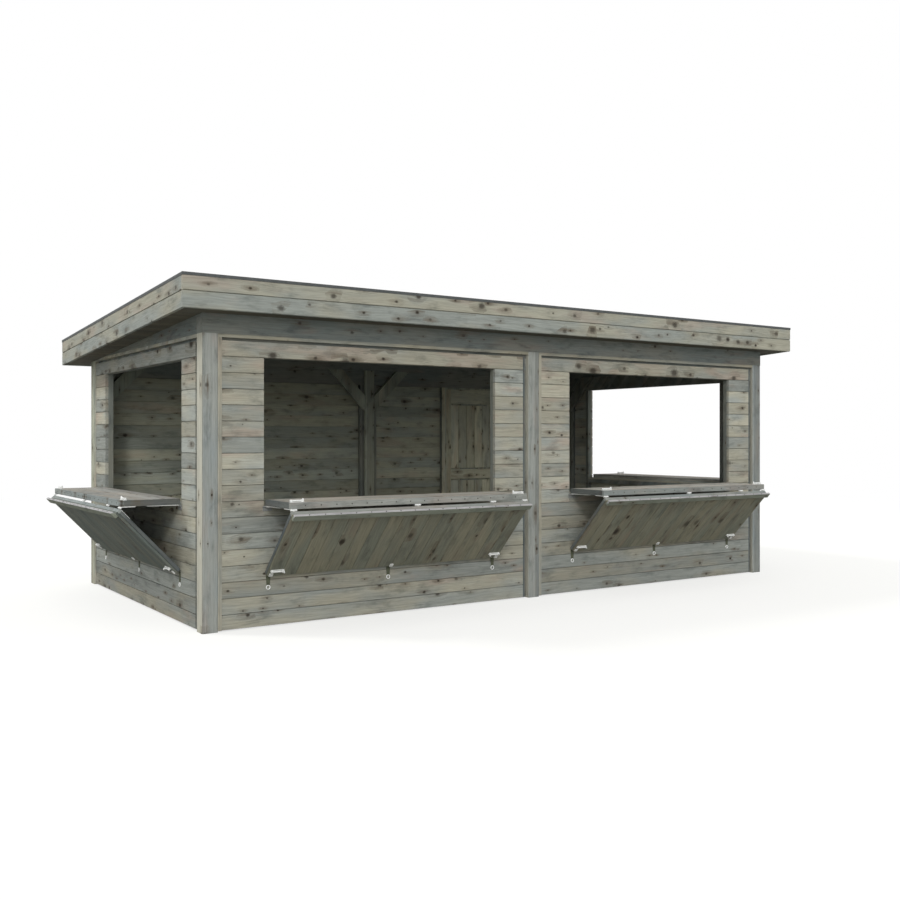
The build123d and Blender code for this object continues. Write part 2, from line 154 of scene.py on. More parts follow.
# Curves of the surfaces: two values of a pattern, then what each of them becomes
core_curve = (0.30, 1.20, 1.0, 0.0)
halo_curve = (0.4, 3.0, 1.0, 0.0)
feather_curve = (0.32, 0.64, 0.80, 0.10)
patch_curve = (0.36, 0.64, 0.0, 1.0)
blush_curve = (0.54, 0.74, 0.0, 0.8)
cloud_curve = (0.48, 0.76, 0.0, 0.9)
left_light_curve = (-0.95, -0.6, 0.85, 0.0)
broad_curve = (0.28, 0.72, 0.89, 1.09)
fine_curve = (0.25, 0.75, 0.82, 1.13)
roll_curve = (0.3, 0.7, 0.90, 1.10)
felt_stain_curve = (0.3, 0.7, 0.86, 1.12)
grit_curve = (0.3, 0.7, 0.85, 1.15)
seam_curve = (0.0, seam_share, 0.6, 1.0)

# Floor, light and camera
floor_reach = 120.0
fade_start, fade_end = 7.0, 16.0
floor_grey = (0.34, 0.34, 0.32, 1.0)
floor_lift = 0.64
surround_light = 0.86
lamps = {                   # strength, spread in degrees and the way that the light goes
    "key": (0.7, 8, (0.816, 1.344, -1.0)),
    "broad": (1.0, 60, (0.55, 1.0, -0.25)),
    "side": (1.15, 10, (0.8, -0.7, -1.0)),
}
camera_place = (-5.6172, -8.4898, 1.4285)
camera_turn = -33.70        # degrees from looking straight at the front
sensor_width = 36.0         # millimetres, as the lens
lens = 40.28
lens_shift_share = -0.01406
view_reach = 500.0

# Places worked out from the solids
front_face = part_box("front_posts")[0][1]
back_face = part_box("back_posts")[1][1]
end_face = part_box("front_posts")[1][0]
board_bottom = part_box("front_side_walls")[0][2]
board_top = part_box("front_side_walls")[1][2]
opening_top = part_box("front_lintel_walls")[0][2]
sill_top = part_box("front_lower_walls")[1][2]
bay_side = (bay - post) / 2
board_back = board_recess + board_thickness
stud_back = board_back + stud_depth
row_height = opening_top / wall_rows
middle_y = (front_face + back_face) / 2

draw = random.Random(grain_seed)
RIGHT = Vector((1, 0, 0))
IN = Vector((0, 1, 0))
UP = Vector((0, 0, 1))


# Frames
def axes_at(origin, x, y, z):
    """Frame with three given axes, which need not be square to each other."""
    return Matrix.Translation(origin) @ Matrix((x, y, z)).transposed().to_4x4()


def frame_at(origin, along, across):
    """Frame of a board: X along the grain, Y across it, Z out of the two."""
    return axes_at(origin, along, across, along.cross(across))


def bay_place(x, y, degrees):
    """Frame of a bay: X to the right seen from outside, Y into the stall, origin at the post face."""
    return Matrix.Translation((x, y, 0)) @ Matrix.Rotation(math.radians(degrees), 4, "Z")


front_places = [bay_place(x, front_face, 0) for x in (-bay / 2, bay / 2)]
end_places = [bay_place(-end_face, middle_y, -90), bay_place(end_face, middle_y, 90)]
plain_back_place, door_place = [bay_place(x, back_face, 180) for x in (-bay / 2, bay / 2)]


# Boards, each an outline drawn out along its grain
def grooved_outline(width, thickness, tongued=True, gap=board_gap):
    """Section of a matched board: a groove below, a tongue on top, and open joints at the faces."""
    low, high = gap / 2, width - gap / 2
    core_low, core_high = board_slit / 2, width - board_slit / 2
    near, far = thickness * joint_share, thickness * (1 - joint_share)
    slot_near, slot_far = thickness * slot_share, thickness * (1 - slot_share)
    crest = core_high + tongue_height
    floor_of_slot = core_low + tongue_height + 2 * board_slit
    outline = [
        (low + edge_chamfer, 0), (high - edge_chamfer, 0), (high, edge_chamfer),
        (high, near), (core_high, near),
    ]
    if tongued:
        inner, outer = slot_near + board_slit, slot_far - board_slit
        outline += [(core_high, inner), (crest, inner), (crest, outer), (core_high, outer)]
    outline += [
        (core_high, far), (high, far), (high, thickness - edge_chamfer), (high - edge_chamfer, thickness),
        (low + edge_chamfer, thickness), (low, thickness - edge_chamfer), (low, far), (core_low, far),
        (core_low, slot_far), (floor_of_slot, slot_far), (floor_of_slot, slot_near), (core_low, slot_near),
        (core_low, near), (low, near), (low, edge_chamfer),
    ]
    return outline


def eased_outline(width, thickness):
    """Section of a plain strip with eased edges."""
    ease = edge_chamfer
    return [
        (ease, 0), (width - ease, 0), (width, ease), (width, thickness - ease),
        (width - ease, thickness), (ease, thickness), (0, thickness - ease), (0, ease),
    ]


def new_mesh(name, points, faces, material):
    """A mesh in one material."""
    mesh = bpy.data.meshes.new(name)
    mesh.from_pydata(points, [], faces)
    mesh.materials.append(material)
    mesh.update()
    return mesh


def dress(piece, body, slot, *replaced):
    """Put a piece into the scene, on its body and in the place of the nodes it stands for."""
    bpy.context.scene.collection.objects.link(piece)
    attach(piece, body)
    if replaced:
        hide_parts(*replaced)


class Boards:
    """Boards gathered in one mesh. Each carries its grain's place and a shade of its own."""

    def __init__(self):
        self.points, self.faces = [], []
        self.grain, self.shade, self.knots = [], [], []

    def add(self, place, outline, length, knots=1.0, shade=None):
        """Add a board. A shade, where one is given, is a list with a value for each corner of the outline."""
        shift = [draw.uniform(0, reach) for reach in grain_shifts]
        start, count = len(self.points), len(outline)
        shades = shade or [draw.random()] * count
        for along in (end_margin, length - end_margin):
            for across, depth in outline:
                self.points.append(place @ Vector((along, across, depth)))
                self.grain.append((along + shift[0], across + shift[1], depth))
                self.knots.append(knots)
            self.shade.extend(shades)
        for k in range(count):
            after = (k + 1) % count
            self.faces.append((start + k, start + after, start + count + after, start + count + k))
        self.faces.append(tuple(start + k for k in reversed(range(count))))
        self.faces.append(tuple(start + count + k for k in range(count)))

    def piece(self, name, material, body, slot, *replaced):
        """Make the boards one piece of the stall."""
        mesh = new_mesh(name, self.points, self.faces, material)
        grain = mesh.attributes.new("grain", "FLOAT_VECTOR", "POINT")
        grain.data.foreach_set("vector", [value for triple in self.grain for value in triple])
        for label, values in (("shade", self.shade), ("knots", self.knots)):
            mesh.attributes.new(label, "FLOAT", "POINT").data.foreach_set("value", values)
        dress(bpy.data.objects.new(name, mesh), body, slot, *replaced)


# Materials
class Tree:
    """The nodes of a material or of the surround, with short ways to add the ones that are used most."""

    def __init__(self, owner, shader="Principled BSDF"):
        owner.use_nodes = True
        self.owner = owner
        self.tree = owner.node_tree
        self.shader = self.tree.nodes[shader]

    def feed(self, socket, value):
        if isinstance(value, bpy.types.NodeSocket):
            self.tree.links.new(value, socket)
        else:
            socket.default_value = value

    def feed_named(self, made, inputs):
        for key, value in inputs.items():
            self.feed(made.inputs[key.replace("_", " ")], value)

    def node(self, kind, settings=None, **inputs):
        made = self.tree.nodes.new(kind)
        for key, value in (settings or {}).items():
            setattr(made, key, value)
        self.feed_named(made, inputs)
        return made

    def chain(self, kind, values, settings=None):
        """A node whose first inputs take the values in their order."""
        made = self.node(kind, settings)
        for socket, value in zip(made.inputs, values):
            self.feed(socket, value)
        return made.outputs

    def math(self, operation, *values):
        return self.chain("ShaderNodeMath", values, {"operation": operation})[0]

    def vector(self, operation, *values):
        outputs = self.chain("ShaderNodeVectorMath", values, {"operation": operation})
        return outputs["Value" if operation == "LENGTH" else "Vector"]

    def ramp(self, value, low, high, at_low, at_high):
        values = (value, low, high, at_low, at_high)
        return self.chain("ShaderNodeMapRange", values, {"interpolation_type": "SMOOTHSTEP"})[0]

    def join(self, x, y, z):
        return self.chain("ShaderNodeCombineXYZ", (x, y, z))[0]

    def split(self, vector):
        return self.chain("ShaderNodeSeparateXYZ", (vector,))

    def noise(self, vector, detail, roughness=0.55):
        inputs = {"Vector": vector, "Scale": 1.0, "Detail": detail, "Roughness": roughness}
        return self.node("ShaderNodeTexNoise", None, **inputs).outputs[0]

    def mix(self, share, first, second, blend="MIX"):
        """Mix two colours. Their sockets come after those for numbers and vectors."""
        made = self.node("ShaderNodeMix", {"data_type": "RGBA", "blend_type": blend})
        for index, value in ((0, share), (6, first), (7, second)):
            self.feed(made.inputs[index], value)
        return made.outputs[2]

    def lit(self, tone, light):
        """A colour times a number."""
        return self.mix(1.0, tone, self.join(light, light, light), "MULTIPLY")

    def place(self):
        return self.node("ShaderNodeTexCoord").outputs["Object"]

    def attribute(self, label):
        return self.node("ShaderNodeAttribute", {"attribute_name": label}).outputs

    def surface(self, **inputs):
        self.feed_named(self.shader, inputs)

    def bump(self, height, strength, distance):
        made = self.node("ShaderNodeBump", None, Height=height, Strength=strength, Distance=distance)
        self.surface(Normal=made.outputs[0])


def colour(red, green, blue):
    """A colour given as it looks on a screen, 0 to 255."""
    def linear(share):
        return share / 12.92 if share <= 0.04045 else ((share + 0.055) / 1.055) ** 2.4
    return tuple(linear(part / 255.0) for part in (red, green, blue)) + (1.0,)


KNOT_CORE = colour(50, 44, 37)
KNOT_RIM = colour(96, 86, 72)
STAIN = (0.56, 0.58, 0.59, 1.0)


def grain_place(t, grain_axis, knot_size):
    """Place along, across and into the grain, a shade, and the size of the knots.

    Boards bring these with them. Other timbers take them from their own coordinates, along one axis.
    """
    if grain_axis is None:
        along, across, depth = t.split(t.attribute("grain")["Vector"])
        size = t.math("MULTIPLY", t.attribute("knots")["Fac"], knot_size)
        return along, across, depth, t.attribute("shade")["Fac"], size
    place = t.split(t.place())
    side, other = [place[k] for k in range(3) if k != grain_axis]
    across = t.math("ADD", side, other)
    depth = t.math("SUBTRACT", side, other)
    shade = t.noise(t.join(0.0, t.math("MULTIPLY", across, shade_waves), 0.0), 0.0)
    return place[grain_axis], across, depth, shade, knot_size


def knot_marks(t, along, across, size, clear_share):
    """Knots, one to a cell, most of them small: cores, halos, and how far they push the grain aside."""
    flat = t.vector("MULTIPLY", t.join(along, across, 0.0), (knot_cells,) * 3)
    cell = t.node("ShaderNodeTexVoronoi", {"voronoi_dimensions": "2D"}, Vector=flat, Scale=1.0)
    away_x, away_y, _ = t.split(t.vector("SUBTRACT", flat, cell.outputs["Position"]))
    luck = t.split(cell.outputs["Color"])
    grown = t.math("MULTIPLY_ADD", t.math("POWER", luck[0], knot_power), knot_growth_share, least_knot_share)
    there = t.math("GREATER_THAN", luck[1], clear_share)
    radius = t.math("ADD", t.math("MULTIPLY", t.math("MULTIPLY", grown, size), there), no_knot_share)
    wobble = t.math("MULTIPLY_ADD", t.noise(t.vector("MULTIPLY", flat, ragged_waves), 3.0), 1.1, 0.45)
    round_gap = t.vector("LENGTH", t.join(t.math("MULTIPLY", away_x, knot_stretch_share), away_y, 0.0))
    long_gap = t.vector("LENGTH", t.join(t.math("MULTIPLY", away_x, halo_stretch_share), away_y, 0.0))
    round_share = t.math("MULTIPLY", t.math("DIVIDE", round_gap, radius), wobble)
    long_share = t.math("DIVIDE", long_gap, radius)
    darkness = t.math("MULTIPLY_ADD", luck[2], 0.45, 0.55)
    core = t.math("MULTIPLY", t.ramp(round_share, *core_curve), darkness)
    halo = t.ramp(t.math("MULTIPLY", long_share, wobble), *halo_curve)
    bend = t.ramp(long_share, 0.0, knot_push_reach, knot_push_share / knot_cells, 0.0)
    return core, halo, t.math("MULTIPLY", away_y, bend)


def streaks(t, along, across, depth, push):
    """Streaks along the grain, bent round the knots: the bent place, broad streaks and fine ones."""
    drift = t.noise(t.vector("MULTIPLY", t.join(along, across, depth), drift_waves), 1.0)
    sway = t.math("MULTIPLY_ADD", drift, 2 * sway_reach, -sway_reach)
    line = t.join(along, t.math("ADD", t.math("SUBTRACT", across, push), sway), depth)
    broad = t.noise(t.vector("MULTIPLY", line, broad_waves), 4.0, 0.62)
    fine = t.noise(t.vector("MULTIPLY", line, fine_waves), 3.0, 0.6)
    return line, broad, fine


def patches(t, line, turn, warm, cool, pink):
    """Warm, cool and pinkish patches under a cloudy stain."""
    patch = t.noise(t.vector("MULTIPLY", line, patch_waves), 3.0, 0.5)
    blush = t.noise(t.vector("MULTIPLY_ADD", line, blush_waves, blush_shift), 3.0)
    cloud = t.noise(t.vector("MULTIPLY_ADD", line, cloud_waves, cloud_shift), 5.0, 0.62)
    tone = t.mix(t.ramp(t.math("ADD", patch, turn), *patch_curve), colour(*warm), colour(*cool))
    tone = t.mix(t.ramp(t.math("SUBTRACT", blush, turn), *blush_curve), tone, colour(*pink))
    return t.mix(t.ramp(cloud, *cloud_curve), tone, t.mix(1.0, tone, STAIN, "MULTIPLY"))


def wood(name, warm, cool, pink, grain_axis=None, knot_size=1.0, clear_share=0.45, lean=0.09,
         shade_range=(0.83, 1.12), damp=0.0, painted_left_light=None):
    """Stained softwood: streaks along the grain, warm, cool and pinkish patches, knots that bend the grain.

    Clear wood has fewer knots, and damp wood is darker and cooler towards the ground. A painted left light,
    where one is given, is a paler colour painted on the faces that look to the left end, standing in for
    the light that falls on them from that side.
    """
    t = Tree(bpy.data.materials.new(name))
    along, across, depth, shade, size = grain_place(t, grain_axis, knot_size)
    core, halo, push = knot_marks(t, along, across, size, clear_share)
    line, broad, fine = streaks(t, along, across, depth, push)
    wet = t.ramp(t.split(t.place())[2], damp_low, damp_high, damp, 0.0)
    turn = t.math("MULTIPLY_ADD", wet, damp_turn, t.math("MULTIPLY_ADD", shade, 2 * lean, -lean))
    tone = patches(t, line, turn, warm, cool, pink)
    # Painted light: faces that look to the left end take the paler colour, as if lit from that side
    if painted_left_light:
        facing = t.split(t.node("ShaderNodeNewGeometry").outputs["Normal"])[0]
        tone = t.mix(t.ramp(facing, *left_light_curve), tone, colour(*painted_left_light))
    light = t.math("MULTIPLY", t.ramp(broad, *broad_curve), t.ramp(fine, *fine_curve))
    light = t.math("MULTIPLY", light, t.math("SUBTRACT", 1.0, wet))
    own = t.math("FRACT", t.math("MULTIPLY", shade, 7.31))
    light = t.math("MULTIPLY", light, t.ramp(own, 0.0, 1.0, *shade_range))
    feather = t.math("MULTIPLY", halo, t.ramp(broad, *feather_curve))
    tone = t.mix(core, t.mix(feather, t.lit(tone, light), KNOT_RIM), KNOT_CORE)
    t.surface(Base_Color=tone, Roughness=0.82, Specular_IOR_Level=0.22)
    height = t.math("MULTIPLY_ADD", broad, 0.7, t.math("MULTIPLY", fine, 0.4))
    t.bump(t.math("SUBTRACT", height, t.math("MULTIPLY", core, 0.4)), 0.35, grain_relief)
    return t.owner


def metal(name, base, metallic, roughness, mottle, cells):
    """Sheet metal, or webbing, with faint mottling in its colour and gloss."""
    t = Tree(bpy.data.materials.new(name))
    spots = t.node("ShaderNodeTexVoronoi", None, Vector=t.place(), Scale=cells).outputs["Color"]
    cloud = t.noise(t.vector("MULTIPLY", t.place(), mottle_waves), 4.0)
    blend = t.math("ADD", t.math("MULTIPLY", t.split(spots)[0], 0.5), t.math("MULTIPLY", cloud, 0.5))
    light = t.ramp(blend, 0.2, 0.8, 1.0 - mottle, 1.0 + mottle)
    gloss = t.ramp(blend, 0.2, 0.8, roughness + gloss_range, roughness - gloss_range)
    t.surface(Base_Color=t.lit(colour(*base), light), Metallic=metallic, Roughness=gloss)
    t.bump(cloud, 0.08, metal_relief)
    return t.owner


def roofing(name, base):
    """Mineral felt in rolls laid down the slope, each lapped over the next."""
    t = Tree(bpy.data.materials.new(name))
    run = t.math("DIVIDE", t.split(t.place())[0], roll_width)
    share = t.math("FRACT", run)
    own = t.noise(t.join(t.math("MULTIPLY", t.math("FLOOR", run), 3.7), 0.5, 0.5), 0.0)
    stain = t.noise(t.vector("MULTIPLY", t.place(), felt_stain_waves), 5.0)
    grit = t.noise(t.vector("MULTIPLY", t.place(), grit_waves), 2.0)
    light = t.math("MULTIPLY", t.ramp(own, *roll_curve), t.ramp(stain, *felt_stain_curve))
    light = t.math("MULTIPLY", light, t.ramp(grit, *grit_curve))
    light = t.math("MULTIPLY", light, t.ramp(share, *seam_curve))
    t.surface(Base_Color=t.lit(colour(*base), light), Roughness=0.9, Specular_IOR_Level=0.25)
    t.bump(t.math("MULTIPLY_ADD", grit, 0.4, t.ramp(share, 0.0, seam_share, 0.0, 1.0)), 0.5, felt_relief)
    return t.owner


board_wood = wood("grey_boards", (166, 163, 147), (151, 155, 149), (168, 156, 142), damp=0.16)
back_wood = wood("back_boards", (165, 165, 145), (150, 155, 144), (164, 156, 138), damp=0.10)
hatch_wood = wood("hatch_boards", (164, 162, 147), (149, 154, 148), (165, 155, 141))
fascia_wood = wood("fascia_boards", (170, 168, 152), (154, 159, 153), (169, 160, 147),
                   knot_size=1.6, lean=0.12)
door_wood = wood("door_planks", (186, 184, 160), (172, 174, 158), (180, 170, 146))
flap_wood = wood("flap_planks", (133, 130, 112), (121, 123, 110), (128, 119, 104),
                 knot_size=2.0, clear_share=0.78, lean=0.05, shade_range=(0.93, 1.05))
# Painted shade: the end flaps take a cooler, darker copy of the flap planks, standing in for the bluish shade
# they hang in
shaded_end_flap_wood = wood("end_flap_planks_painted_shade", (109, 112, 103), (97, 105, 100), (105, 102, 94),
                     knot_size=2.0, clear_share=0.78, lean=0.05, shade_range=(0.93, 1.05))
# Painted shade: the end counters take a darker copy of the counter planks, offsetting the side lamp's light
# on their tops
shaded_end_counter_wood = wood("end_counter_planks_painted_shade", (170, 164, 153), (157, 157, 151), (166, 155, 143),
                        clear_share=0.65)
counter_wood = wood("counter_planks", (186, 180, 167), (172, 172, 165), (182, 170, 157), clear_share=0.65)
sunk_wood = wood("sunk_strips", (96, 102, 101), (86, 94, 96), (95, 93, 88), knot_size=0.4)
strip_wood = wood("edge_strips", (150, 152, 146), (138, 145, 143), (148, 142, 135),
                  knot_size=0.6, shade_range=(0.83, 0.95))
# Painted light and shade on the lap strips: the pale colour is a lit upper edge, the olive one a shaded front
painted_light_lap_wood = wood("lap_strips_painted_light", (184, 186, 188), (132, 137, 124), (178, 176, 176), knot_size=0.5, lean=0.5)
side_wood = wood("side_strips", (104, 108, 105), (92, 99, 101), (104, 102, 96))
# The posts' faces that look to the left end are painted paler, as painted light from that side
upright_wood = wood("upright_timber", (141, 144, 139), (129, 136, 136), (141, 136, 129),
                    grain_axis=2, knot_size=0.8, painted_left_light=(176, 174, 160))
inner_wood = wood("inner_timber", (160, 162, 145), (147, 154, 143), (156, 151, 136), grain_axis=2)
stud_wood = wood("studs", (124, 125, 115), (112, 117, 112), (122, 118, 109), grain_axis=2)
level_wood = wood("level_timber", (131, 132, 124), (118, 125, 122), (130, 124, 116),
                  grain_axis=0, knot_size=0.8)
deep_wood = wood("deep_timber", (114, 117, 109), (103, 110, 108), (113, 109, 102),
                 grain_axis=1, knot_size=0.8)
soffit_wood = wood("soffit_planks", (96, 92, 79), (87, 86, 77), (95, 86, 73), grain_axis=0)
pale_upright = wood("pale_upright", (168, 164, 148), (152, 154, 146), (166, 155, 140),
                    grain_axis=2, knot_size=0.3)
pale_level = wood("pale_level", (166, 162, 144), (150, 152, 143), (165, 153, 137),
                  grain_axis=0, knot_size=0.3)
galvanised = metal("galvanised", (236, 237, 235), 0.35, 0.40, 0.08, 220.0)
dull_zinc = metal("dull_zinc", (138, 140, 138), 0.35, 0.55, 0.12, 220.0)
coated = metal("coated_sheet", (72, 75, 75), 0.0, 0.7, 0.08, 60.0)
felt = roofing("roofing_sheet", (66, 67, 68))
webbing = metal("strap_webbing", (72, 76, 58), 0.0, 0.75, 0.25, 900.0)
screw_steel = metal("screw_heads", (62, 60, 56), 0.2, 0.6, 0.15, 500.0)

# Pieces that keep their solids
hatch_fittings = [hatch + label for hatch in hatches for label in ("_counter_fittings", "_flap_fittings")]
for material, names in (
    (upright_wood, ["front_posts"]),
    (stud_wood, ["wall_studs", "front_braces", "end_braces"]),
    (inner_wood, ["back_posts", "back_braces", "door_stops"]),
    (level_wood, ["front_beam", "back_beam", "head_rails", "sill_rails", "roof_headers"]),
    (deep_wood, ["end_beams", "roof_gables", "roof_joists"]),
    (soffit_wood, ["roof_deck", "soffit_boards"]),
    (pale_upright, ["side_battens"]),
    (pale_level, ["top_battens"]),
    (coated, ["roof_edge_trim"]),
    (felt, ["roof_membrane"]),
    (galvanised, ["hatch_catch_rings", "door_straps", "door_pull"] + hatch_fittings),
    (dull_zinc, ["hatch_hinge_plates", "door_hinge_plates"]),
    (webbing, ["hatch_catch_straps"]),
):
    for name in names:
        for slot in nodes[name].material_slots:
            slot.material = material


# Wall boards
def level_board(boards, place, x, z, tongued=True, knots=1.0, shade=None):
    """A board laid level in the wall of a bay."""
    corner = place @ frame_at((x[0], board_back, z[0]), RIGHT, UP)
    outline = grooved_outline(z[1] - z[0], board_thickness, tongued)
    boards.add(corner, outline, x[1] - x[0], knots, shade and [shade] * len(outline))


def wall_boards(boards, place, gap, sill, lintel_shade):
    """Rows of boards of one bay, with a gap from the sill to the lintel."""
    left, right = -bay_side + batten_width, bay_side - groove_width - groove_strip
    for row in range(wall_rows):
        z = (max(row * row_height, board_bottom), (row + 1) * row_height)
        if gap is None or z[1] <= sill:
            level_board(boards, place, (left, right), z)
            continue
        level_board(boards, place, (left, -gap / 2), z)
        level_board(boards, place, (gap / 2, right), z)
        if z[0] < sill:
            level_board(boards, place, (-gap / 2, gap / 2), (z[0], sill), False)
    # A lintel's given value sets its tone; at the ends it is painted shade, cool and dark
    level_board(boards, place, (left, right), (opening_top, board_top), False, lintel_knots, lintel_shade)


def sunk_strip(boards, place):
    """The strip sunk beside the groove at the right end of a bay."""
    spot = (bay_side - groove_width - groove_strip, board_recess + strip_recess, board_bottom)
    outline = eased_outline(groove_strip, board_thickness - strip_recess)
    boards.add(place @ frame_at(spot, UP, RIGHT), outline, board_top - board_bottom)


walls = {
    "front": [(place, opening_width, sill_top) for place in front_places],
    "end": [(place, opening_width, sill_top) for place in end_places],
    "back": [(plain_back_place, None, sill_top), (door_place, door_width, board_bottom)],
}
wall_nodes = {
    "front": ("front_side_walls", "front_lower_walls", "front_lintel_walls"),
    "end": ("end_side_walls", "end_lower_walls", "end_lintel_walls"),
    "back": ("back_plain_wall", "back_door_side_walls", "back_over_door_wall"),
}
wall_woods = {"front": board_wood, "end": board_wood, "back": back_wood}
sunk = Boards()
for side, bays in walls.items():
    boards = Boards()
    for place, gap, sill in bays:
        wall_boards(boards, place, gap, sill, lintel_tones_and_painted_shade[side])
        sunk_strip(sunk, place)
    boards.piece(side + "_boards", wall_woods[side], "stall", "board_wood", *wall_nodes[side])
sunk.piece("sunk_strips", sunk_wood, "stall", "batten_wood")

# Casing round the door, inside, on the timbers beside it
casing = Boards()
for x in (-door_width / 2 - stud_width, door_width / 2):
    corner = door_place @ frame_at((x, stud_back, board_bottom), UP, RIGHT)
    casing.add(corner, eased_outline(stud_width, casing_depth), opening_top - board_bottom)
casing.piece("door_casing", door_wood, "stall", "frame_wood")

# Stops on the sills, behind the closed counters
stops = Boards()
for place in front_places + end_places:
    corner = place @ frame_at((-opening_width / 2, stud_back, sill_top), RIGHT, UP)
    stops.add(corner, eased_outline(stop_height, stop_depth), opening_width, knots=0.0)
stops.piece("sill_stops", board_wood, "stall", "board_wood")

# Door planks
low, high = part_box("door_planks")
planks = Boards()
door_planks = round((high[0] - low[0]) / plank_width)
width = (high[0] - low[0]) / door_planks
for k in range(door_planks):
    corner = frame_at((low[0] + k * width, low[1], low[2]), UP, RIGHT)
    planks.add(corner, grooved_outline(width, high[1] - low[1], k < door_planks - 1), high[2] - low[2])
planks.piece("door_boards", back_wood, "door", "door_wood", "door_planks")

# Frame inside the door, with planks let in between its rails
low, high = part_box("door_rails")
depth = high[1] - low[1]
middle = low[2] + mid_rail_share * (high[2] - low[2])
door_frame, infill = Boards(), Boards()
for x in (low[0], high[0] - door_rail_width):
    corner = frame_at((x, low[1], low[2]), UP, RIGHT)
    door_frame.add(corner, eased_outline(door_rail_width, depth), high[2] - low[2])
between = (low[0] + door_rail_width, high[0] - door_rail_width)
rails = (
    (low[2], low[2] + door_rail_width),
    (middle - door_mid_rail / 2, middle + door_mid_rail / 2),
    (high[2] - door_top_rail, high[2]),
)
for bottom, top in rails:
    corner = frame_at((between[0], high[1], bottom), RIGHT, UP)
    door_frame.add(corner, eased_outline(top - bottom, depth), between[1] - between[0])
door_frame.piece("door_frame_boards", door_wood, "door", "door_wood", "door_rails")
width = (between[1] - between[0]) / infill_planks
for (_, bottom), (top, _) in zip(rails, rails[1:]):
    for k in range(infill_planks):
        spot = (between[0] + k * width, high[1] - infill_depth, bottom + infill_gap)
        outline = grooved_outline(width, infill_depth, k < infill_planks - 1)
        infill.add(frame_at(spot, UP, RIGHT), outline, top - bottom - 2 * infill_gap)
infill.piece("door_infill_boards", door_wood, "door", "door_wood")

# Fascias, two boards high, following the slope of the roof
front_low, front_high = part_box("front_fascia")
back_low, back_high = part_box("back_fascia")
end_low, end_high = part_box("end_fascias")
fascia_thickness = front_high[1] - front_low[1]
fall = (front_high[2] - back_high[2]) / (back_low[1] - front_low[1])
fascia_height = front_high[2] - front_low[2] - fall * fascia_thickness
slope = Vector((0, 1, -fall))
level_run = front_high[0] - front_low[0]
sloped_run = end_high[1] - end_low[1]
end_bottom = end_high[2] - fascia_height


def fascia(boards, origin, along, out, length):
    """Two boards over each other, the upper one warmer than the lower."""
    width = fascia_height / 2
    for row, shade in enumerate(fascia_shades):
        corner = Vector(origin) + row * width * UP
        outline = grooved_outline(width, fascia_thickness, row == 0, fascia_gap)
        boards.add(axes_at(corner, along, UP, out), outline, length, 1.0, [shade] * len(outline))


front_row, back_row, end_rows = Boards(), Boards(), Boards()
fascia(front_row, (front_low[0], front_high[1], front_low[2]), RIGHT, -slope, level_run)
fascia(back_row, (back_high[0], back_low[1], back_high[2] - fascia_height), -RIGHT, slope, level_run)
right_corner = (end_high[0] - fascia_thickness, end_low[1], end_bottom)
left_corner = (end_low[0] + fascia_thickness, end_high[1], end_bottom - sloped_run * fall)
fascia(end_rows, right_corner, slope, RIGHT, sloped_run)
fascia(end_rows, left_corner, -slope, -RIGHT, sloped_run)
for name, row in (("front_fascia", front_row), ("back_fascia", back_row), ("end_fascias", end_rows)):
    row.piece(name + "_boards", fascia_wood, "stall", "fascia_wood", name)

# Hatches: counters and flaps boarded on both faces
flap_planks = round(hatch_width / plank_width)
screw_count = int(hatch_width / screw_pitch)
screw_xs = [(k - (screw_count - 1) / 2) * screw_pitch for k in range(screw_count)]
hatch_x = (-hatch_width / 2, hatch_width / 2)
inner_x = (hatch_x[0] + edge_strip, hatch_x[1] - edge_strip)


def hatch_frame(name):
    """Frames of a hatch at its wall hinge and at its fold, and the distance between them.

    X lies along the hatch, Y into the stall or down the flap.
    """
    wall, fold = joints[name + "_counter_hinge"], joints[name + "_flap_fold"]
    across = -Vector(wall["axis"])
    angle = math.pi - math.radians(fold["range_deg"][1])
    at_wall, level_fold = [axes_at(joint["pos_m"], across, UP.cross(across), UP) for joint in (wall, fold)]
    reach = (Vector(fold["pos_m"]) - Vector(wall["pos_m"])).length
    return at_wall, level_fold @ Matrix.Rotation(-angle, 4, "X"), reach


def layer(boards, place, x, y, z, count, along_y=False):
    """One layer of boards that fills a flat box, laid along X or along Y."""
    width = (x[1] - x[0] if along_y else y[1] - y[0]) / count
    length = y[1] - y[0] if along_y else x[1] - x[0]
    for k in range(count):
        if along_y:
            corner = frame_at((x[0] + k * width, y[0], z[1]), IN, RIGHT)
        else:
            corner = frame_at((x[0], y[0] + k * width, z[0]), RIGHT, IN)
        boards.add(place @ corner, grooved_outline(width, z[1] - z[0], k < count - 1, plank_gap), length)


def long_strip(boards, place, x, y, z):
    """A strip along X with eased edges."""
    corner = place @ frame_at((x[0], y[0], z[0]), RIGHT, IN)
    boards.add(corner, eased_outline(y[1] - y[0], z[1] - z[0]), x[1] - x[0])


def side_strips(boards, place, x, y, z):
    """The strips that close both sides of a panel."""
    outline = eased_outline(edge_strip, z[1] - z[0])
    for edge in (x[0] + edge_strip, x[1]):
        boards.add(place @ frame_at((edge, y[0], z[0]), IN, -RIGHT), outline, y[1] - y[0])


def screw_row(name, place, y, z, body):
    """A row of screw heads along a hatch, each a low disc with a sunk middle."""
    points, faces = [], []
    for x in screw_xs:
        head = place @ frame_at((x, y, z), RIGHT, UP)
        start = len(points)
        last = start + (len(screw_ring_shares) - 1) * screw_sides
        for out_share, rise_share in screw_ring_shares:
            radius = out_share * screw_radius
            for k in range(screw_sides):
                turn = 2 * math.pi * k / screw_sides
                spot = (radius * math.cos(turn), radius * math.sin(turn), rise_share * screw_height)
                points.append(head @ Vector(spot))
        for ring in range(start, last, screw_sides):
            above = ring + screw_sides
            for k in range(screw_sides):
                after = (k + 1) % screw_sides
                faces.append((ring + k, ring + after, above + after, above + k))
        faces.append(tuple(last + k for k in range(screw_sides)))
        faces.append(tuple(start + k for k in reversed(range(screw_sides))))
    mesh = new_mesh(name, points, faces, screw_steel)
    dress(bpy.data.objects.new(name, mesh), body, "galvanised_steel")


